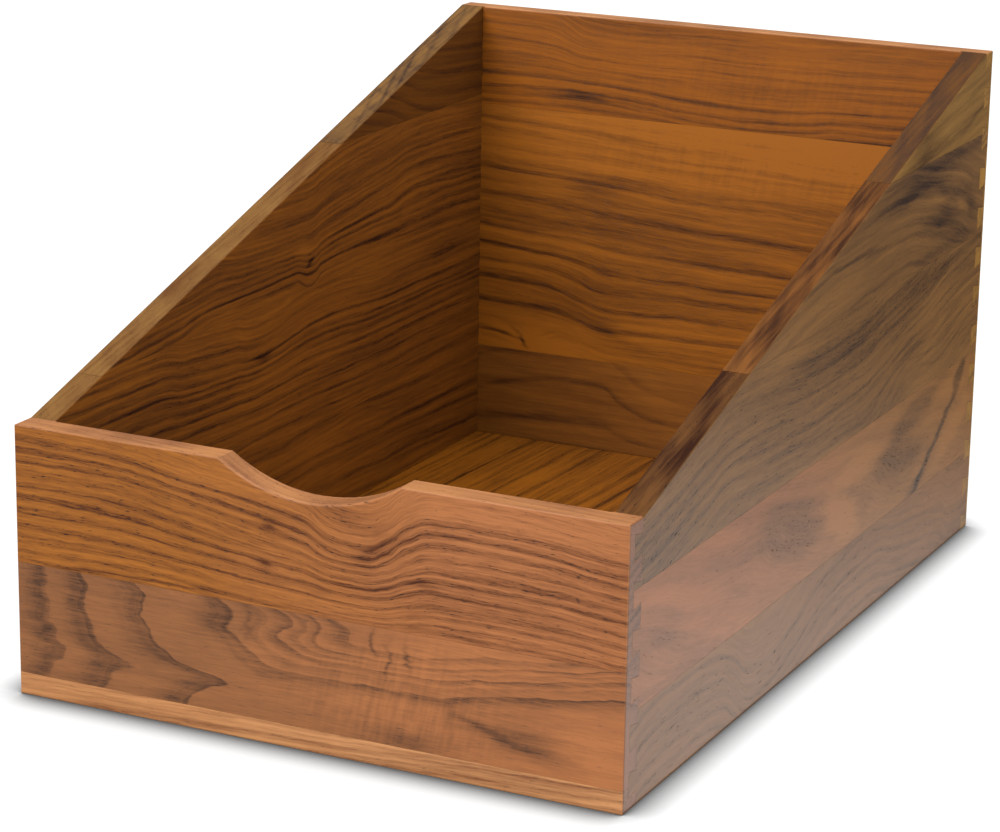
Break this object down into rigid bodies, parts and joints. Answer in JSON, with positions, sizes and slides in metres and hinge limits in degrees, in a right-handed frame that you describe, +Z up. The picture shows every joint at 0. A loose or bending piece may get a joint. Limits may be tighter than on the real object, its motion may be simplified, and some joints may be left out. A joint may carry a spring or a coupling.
{
  "type": "record album bin",
  "caption": "Open-top wooden bin with a low front, finger notch, sloping sides, high back and raised floor, for standing albums upright and flipping through them.",
  "frame": {"origin": "middle of the rectangular footprint, on the surface that the bin stands on", "axes": "+X to the right seen from the front, +Y from the low front to the high back, +Z up"},
  "size_m": [0.365, 0.545, 0.311],
  "materials": {
    "walnut_front": "oiled satin",
    "walnut_back": "oiled satin",
    "walnut_left": "oiled satin",
    "walnut_right": "oiled satin",
    "walnut_floor": "oiled satin"
  },
  "bodies": {
    "root": {"front_stave_bottom": "walnut_front", "front_stave_middle": "walnut_front", "front_stave_top": "walnut_front", "back_stave_bottom": "walnut_back", "back_stave_middle": "walnut_back", "back_stave_top": "walnut_back", "left_side_stave_1": "walnut_left", "left_side_stave_2": "walnut_left", "left_side_stave_3": "walnut_left", "left_side_stave_4": "walnut_left", "right_side_stave_1": "walnut_right", "right_side_stave_2": "walnut_right", "right_side_stave_3": "walnut_right", "right_side_stave_4": "walnut_right", "right_side_stave_5": "walnut_right", "floor_stave_1": "walnut_floor", "floor_stave_2": "walnut_floor", "floor_stave_3": "walnut_floor", "floor_stave_4": "walnut_floor", "floor_stave_5": "walnut_floor"}
  },
  "joints": []
}
